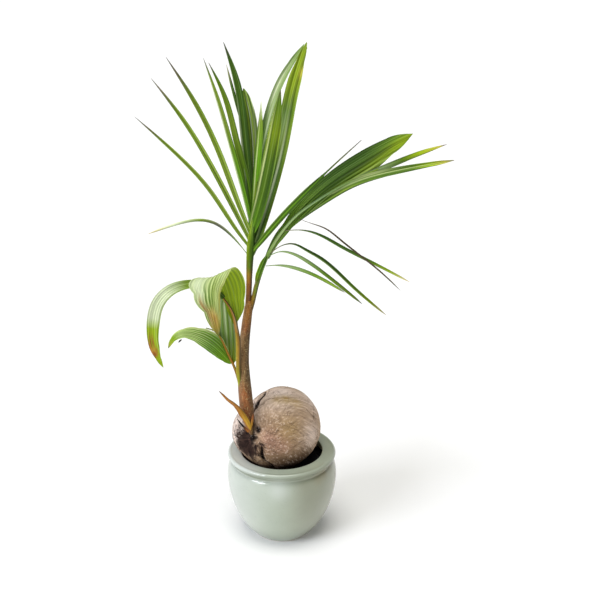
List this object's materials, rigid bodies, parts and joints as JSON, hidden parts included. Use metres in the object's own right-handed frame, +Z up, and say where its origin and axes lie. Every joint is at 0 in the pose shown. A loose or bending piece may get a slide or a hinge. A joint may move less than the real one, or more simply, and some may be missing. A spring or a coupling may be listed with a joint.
{
  "type": "potted coconut palm seedling",
  "caption": "Young coconut palm growing from its whole nut: split fronds above, older undivided leaves at the side, on soil in a round glazed pot.",
  "frame": {"origin": "centre of the pot's flat underside", "axes": "+Z up through the pot's middle, -Y towards the side where the shoot leaves the nut, +X towards the side where the spreading frond points"},
  "size_m": [0.51, 0.2305, 0.912],
  "materials": {
    "glazed_stoneware": "gloss",
    "soil": "matte",
    "husk": "matte",
    "young_bark": "satin",
    "dry_sheath": "matte",
    "stalk": "satin",
    "leaf": "satin",
    "pale_leaf": "satin"
  },
  "bodies": {
    "root": {"pot": "glazed_stoneware", "soil": "soil", "coconut": "husk", "shoot": "young_bark", "sheath_spike": "dry_sheath", "stalk_upright": "stalk", "stalk_right": "stalk", "stalk_upper_left": "stalk", "stalk_lower_left": "stalk", "frond_upright": "leaf", "leaflet_arched_tip": "leaf", "leaflet_lone": "leaf", "frond_right": "leaf", "leaflet_drooping_1": "leaf", "leaflet_drooping_2": "leaf", "leaflet_drooping_3": "leaf", "leaflet_drooping_4": "leaf", "leaflet_dry_strand": "dry_sheath", "leaf_upper": "pale_leaf", "leaf_upper_near_lobe": "pale_leaf", "leaf_upper_far_lobe": "pale_leaf", "leaf_lower": "pale_leaf"}
  },
  "joints": []
}
